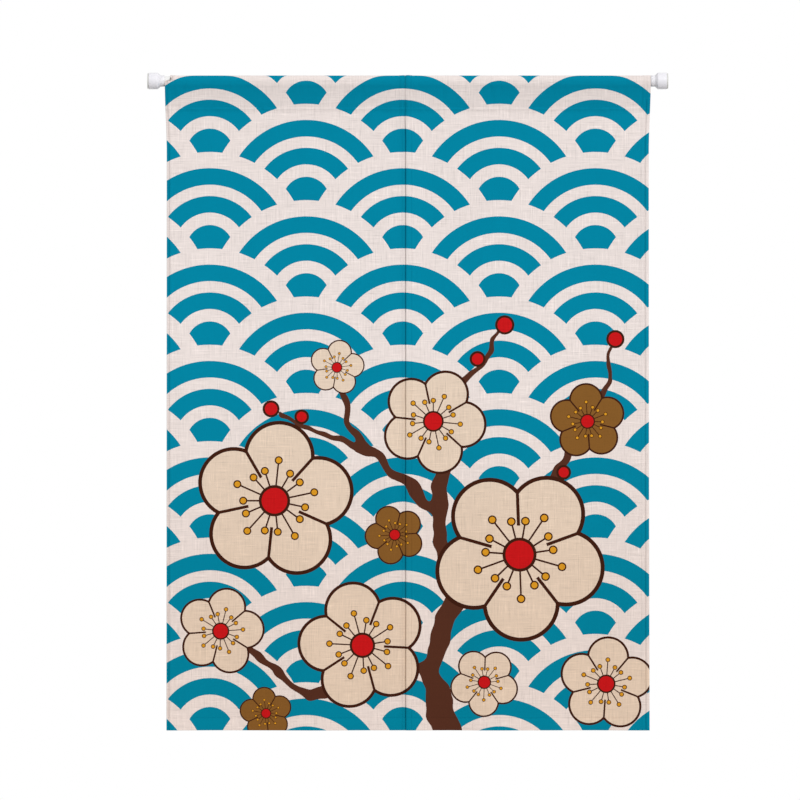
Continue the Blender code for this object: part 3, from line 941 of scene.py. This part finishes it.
def cloth_panel(side, material):
    """The panel as one closed sheet. Each row of the grid runs across the printed face, round the right
    folded edge, back across the reverse and round the left one, and the rows at both ends close to a line.
    Returns the piece, and the grids that the stitches need."""
    _, _, _, length, _ = path_rows()
    _, _, across = columns_across(side)
    points = middle_surface(side)
    points = points + normals(points) * small_waves(side, points)[..., None]
    normal = normals(points)
    along_row = np.gradient(points, axis=1)
    along_row /= np.linalg.norm(along_row, axis=-1, keepdims=True)
    face, reverse, side_turned, bottom_turned, shade, sewn = sheet_faces(side)
    printed_side = points + normal * face[..., None]
    other_side = points - normal * reverse[..., None]

    def folded_edge(column, outwards, angles):
        """Half an ellipse from one face to the other, beyond the first or the last column."""
        middle = (printed_side[:, column] + other_side[:, column])[:, None] / 2
        half = ((face + reverse) / 2)[:, column, None, None]
        reach = EDGE_REACH * np.minimum(half / FRONT, 1)
        out = outwards * along_row[:, column, None, :]
        angles = angles[None, :, None]
        return middle + reach * np.sin(angles) * out + half * np.cos(angles) * normal[:, column, None, :]

    angles = np.linspace(0, np.pi, ARC_STEPS)[1:-1]
    right_edge, left_edge = folded_edge(-1, 1, angles), folded_edge(0, -1, angles[::-1])
    loop = np.concatenate([printed_side, right_edge, other_side[:, ::-1], left_edge], axis=1)

    start, end = points[:, :1, 0] - LEFT_EDGE - EDGE_REACH, points[:, -1:, 0] - LEFT_EDGE + EDGE_REACH
    u_face = points[..., 0] - LEFT_EDGE
    v_face = length[:, None] + 0 * face
    u_turned = np.where(across < panel_width(side) / 2, 2 * start - u_face, 2 * end - u_face)
    u_back = np.where(side_turned > 0.5, u_turned, u_face)
    v_back = np.where(bottom_turned > 0.5, -v_face, v_face)
    round_edge = EDGE_REACH * np.linspace(-1, 1, ARC_STEPS)[1:-1] + 0 * length[:, None]
    v_edge = length[:, None] + 0 * round_edge
    u = np.concatenate([u_face, end + round_edge, u_back[:, ::-1], start + round_edge], axis=1)
    v = np.concatenate([v_face, v_edge, v_back[:, ::-1], v_edge], axis=1)

    def round_the_sheet(front, back):
        """A mark's values on the printed face and the reverse, led round both folded edges."""
        return np.concatenate(
            [front, front[:, -1:] + 0 * round_edge, back[:, ::-1], front[:, :1] + 0 * round_edge], axis=1
        )

    turned_in = np.maximum(side_turned, bottom_turned)
    marks = {
        "printed": round_the_sheet(1 + 0 * face, turned_in),
        "shade": round_the_sheet(shade, shade),
        "sewn": round_the_sheet(sewn, sewn),
    }
    piece = grid_piece(f"{side}_cloth", loop, material, np.stack([u, v], axis=-1), marks)
    return piece, (printed_side, other_side, normal, u_face, v_face)


cloth = cloth_material("printed_cloth")
grids = {}
for side in ("left", "right"):
    piece, grids[side] = cloth_panel(side, cloth)
    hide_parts(f"{side}_panel")
    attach(piece, "root")


# ---- Stitches ----
# Thread in the colours of the print, because the cloth is printed after it is sewn. Straight stitches of
# 2.4 mm hold the side hems, the bottom hem and the pocket, and each thread's ends go down into the cloth.

STITCH_STEP = 0.0030
STITCH_LENGTH = 0.0024
THREAD_RADIUS = 0.00022
THREAD_SIDES = 5
# painted shade on the threads
THREAD_SHADE = 0.96
EDGE_ROWS = 3  # of the cloth's grid at either end, where no stitch goes
# Rings of one stitch: place along it, height over the cloth and radius, as shares of its length and thread
STITCH_RINGS = np.array(
    ((-0.5, -0.9, 0.55), (-0.36, 0.25, 0.9), (0.0, 0.6, 1.0), (0.36, 0.25, 0.9), (0.5, -0.9, 0.55))
)


def along_line(line, places):
    """Points of a polyline of rows [point, values] at those lengths along its first three values."""
    run = np.concatenate([[0], np.cumsum(np.linalg.norm(np.diff(line[:, :3], axis=0), axis=1))])
    return np.stack([np.interp(places, run, values) for values in line.T], axis=-1), run[-1]


def stitches_along(line):
    """Thread surfaces [stitch, ring, side, xyz] and their places on the cloth, along a line on a face of the
    panel. The line's rows hold a point, the outward normal and the place on the cloth."""
    _, total = along_line(line, [0.0])
    middles = np.arange(STITCH_STEP, total - STITCH_STEP, STITCH_STEP)
    ends, _ = along_line(line, middles + STITCH_LENGTH / 2)
    starts, _ = along_line(line, middles - STITCH_LENGTH / 2)
    centre = (starts + ends) / 2
    axis = ends[:, :3] - starts[:, :3]
    axis /= np.linalg.norm(axis, axis=1, keepdims=True)
    outwards = centre[:, 3:6] / np.linalg.norm(centre[:, 3:6], axis=1, keepdims=True)
    sideways = np.cross(axis, outwards)
    place, height, thickness = STITCH_RINGS.T[:, None, :, None, None]
    angles = np.linspace(0, 2 * np.pi, THREAD_SIDES, endpoint=False)[None, None, :, None]
    spine = centre[:, None, None, :3] + axis[:, None, None] * place * STITCH_LENGTH
    lift = THREAD_RADIUS * (height + thickness * np.sin(angles))
    swing = THREAD_RADIUS * thickness * np.cos(angles)
    threads = spine + outwards[:, None, None] * lift + sideways[:, None, None] * swing
    return threads, centre[:, 6:8]


def seam_lines(side):
    """Every line of stitches of a panel, on the printed face and on the reverse."""
    printed_side, other_side, normal, u, v = grids[side]
    _, z, _, length, on_front = path_rows()
    _, _, across = columns_across(side)
    first, last = (HEMS[side, end][0] for end in ENDS[side])
    pocket_front = np.argmin(np.where(on_front, abs(z - STITCHES), 1))
    pocket_back = np.argmin(np.where(on_front, 1, abs(z - STITCHES)))
    bottom = np.argmin(abs(length - BOTTOM_STITCHES))
    lines = []
    for surface, outwards, pocket in ((printed_side, 1, pocket_front), (other_side, -1, pocket_back)):
        rows = np.concatenate([surface, outwards * normal, u[..., None], v[..., None]], axis=-1)
        for place in (first, panel_width(side) - last):
            lines.append(rows[EDGE_ROWS:-EDGE_ROWS, np.argmin(abs(across - place))])
        lines += [rows[bottom], rows[pocket]]
    return lines


def stitch_piece(side, material):
    """All the stitches of a panel as one piece of small closed threads."""
    bundles = [stitches_along(line) for line in seam_lines(side)]
    threads = np.concatenate([threads for threads, _ in bundles])
    places = np.concatenate([places for _, places in bundles])
    count, rings, sides = threads.shape[:3]
    index = np.arange(count * rings * sides).reshape(count, rings, sides)
    ahead = np.roll(index, -1, axis=2)
    quads = np.stack([index[:, :-1], ahead[:, :-1], ahead[:, 1:], index[:, 1:]], axis=-1).reshape(-1, 4)
    caps = np.concatenate([index[:, 0, ::-1], index[:, -1]])
    data = bpy.data.meshes.new(f"stitches_{side}")
    data.from_pydata(threads.reshape(-1, 3), [], quads.tolist() + caps.tolist())
    owner = np.concatenate([quads.ravel(), caps.ravel()]) // (rings * sides)
    data.uv_layers.new(name="cloth_metres").data.foreach_set("uv", places[owner].astype(np.float32).ravel())
    for mark, value in (("printed", 1.0), ("shade", THREAD_SHADE), ("sewn", 0.0)):
        values = np.full(count * rings * sides, value, dtype=np.float32)
        data.attributes.new(mark, "FLOAT", "POINT").data.foreach_set("value", values)
    mesh = bmesh.new()
    mesh.from_mesh(data)
    bmesh.ops.recalc_face_normals(mesh, faces=mesh.faces)
    mesh.to_mesh(data)
    mesh.free()
    data.shade_smooth()
    data.materials.append(material)
    piece = bpy.data.objects.new(f"stitches_{side}", data)
    bpy.context.scene.collection.objects.link(piece)
    return piece


thread = cloth_material("sewing_thread", woven=False)
for side in ("left", "right"):
    piece = stitch_piece(side, thread)
    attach(piece, "root")


# ---- Stage, light and camera ----
# A pale studio floor at the foot of a doorway, a soft key light from the upper right and an even sky, and a
# long lens that looks straight at the curtain.

FLOOR_HEIGHT = -2.05
FLOOR_REACH = 10.0
FRAME_WIDTH = 1.4108
FRAME_MIDDLE = (0.4453, -0.5626)
CAMERA_DISTANCE = 10.0
FLOOR_TONES = ((0.66, 0.65, 0.64), (0.70, 0.69, 0.68))
KEY_PLACE = (2.7, -5.2, 2.9)
KEY_AIM = (0.46, 0, -0.56)
KEY_STRENGTH = 1.80
KEY_SPREAD = math.radians(14)
SKY_STRENGTH = 0.515  # at the horizon
SKY_RISE = 0.13  # and by how much more overhead
WHITE = (1.0, 1.0, 1.0, 1.0)

floor_data = bpy.data.meshes.new("floor")
corners = [(x * FLOOR_REACH, y * FLOOR_REACH, FLOOR_HEIGHT) for x, y in ((-1, -1), (1, -1), (1, 1), (-1, 1))]
floor_data.from_pydata(corners, [], [(0, 1, 2, 3)])
floor_finish, floor_shader, floor_start = new_material("studio_floor")
floor_place = floor_start.node("TexCoord", output="Object")
mottled = floor_start.node("TexNoise", inputs={"Vector": floor_place, "Scale": 3.0}, output="Fac")
blend(mottled, *FLOOR_TONES).feed(floor_shader.inputs["Base Color"])
floor_shader.inputs["Roughness"].default_value = 0.8
floor_data.materials.append(floor_finish)
floor = bpy.data.objects.new("floor", floor_data)
bpy.context.scene.collection.objects.link(floor)


def lamp(name, light, place, aim):
    """A light at a place, turned to face the point that it aims at."""
    holder = bpy.data.objects.new(name, light)
    holder.location = place
    direction = np.array(aim) - np.array(place)
    flat = math.hypot(direction[0], direction[1])
    holder.rotation_euler = (math.atan2(flat, -direction[2]), 0, math.atan2(-direction[0], direction[1]))
    bpy.context.scene.collection.objects.link(holder)


sun = bpy.data.lights.new("window", "SUN")
sun.energy = KEY_STRENGTH
sun.angle = KEY_SPREAD
lamp("window", sun, KEY_PLACE, KEY_AIM)

world = bpy.data.worlds.new("studio")
world.use_nodes = True
bpy.context.scene.world = world
backdrop = world.node_tree.nodes["Background"]
sky = Field(world.node_tree)
height = sky.node("SeparateXYZ", inputs={0: sky.node("TexCoord", output="Generated")}, output=2)
seen = sky.node("LightPath", output="Is Camera Ray")
glow = height * SKY_RISE + SKY_STRENGTH
blend(seen, glow, 1.0, "FLOAT").feed(backdrop.inputs["Strength"])
backdrop.inputs["Color"].default_value = WHITE

camera_data = bpy.data.cameras.new("camera")
camera_data.lens = camera_data.sensor_width * CAMERA_DISTANCE / FRAME_WIDTH
camera_data.clip_end = 100.0
camera = bpy.data.objects.new("camera", camera_data)
camera.location = (FRAME_MIDDLE[0], -CAMERA_DISTANCE, FRAME_MIDDLE[1])
camera.rotation_euler = (math.pi / 2, 0, 0)
bpy.context.scene.collection.objects.link(camera)
bpy.context.scene.camera = camera
bpy.context.scene.view_settings.view_transform = "Standard"
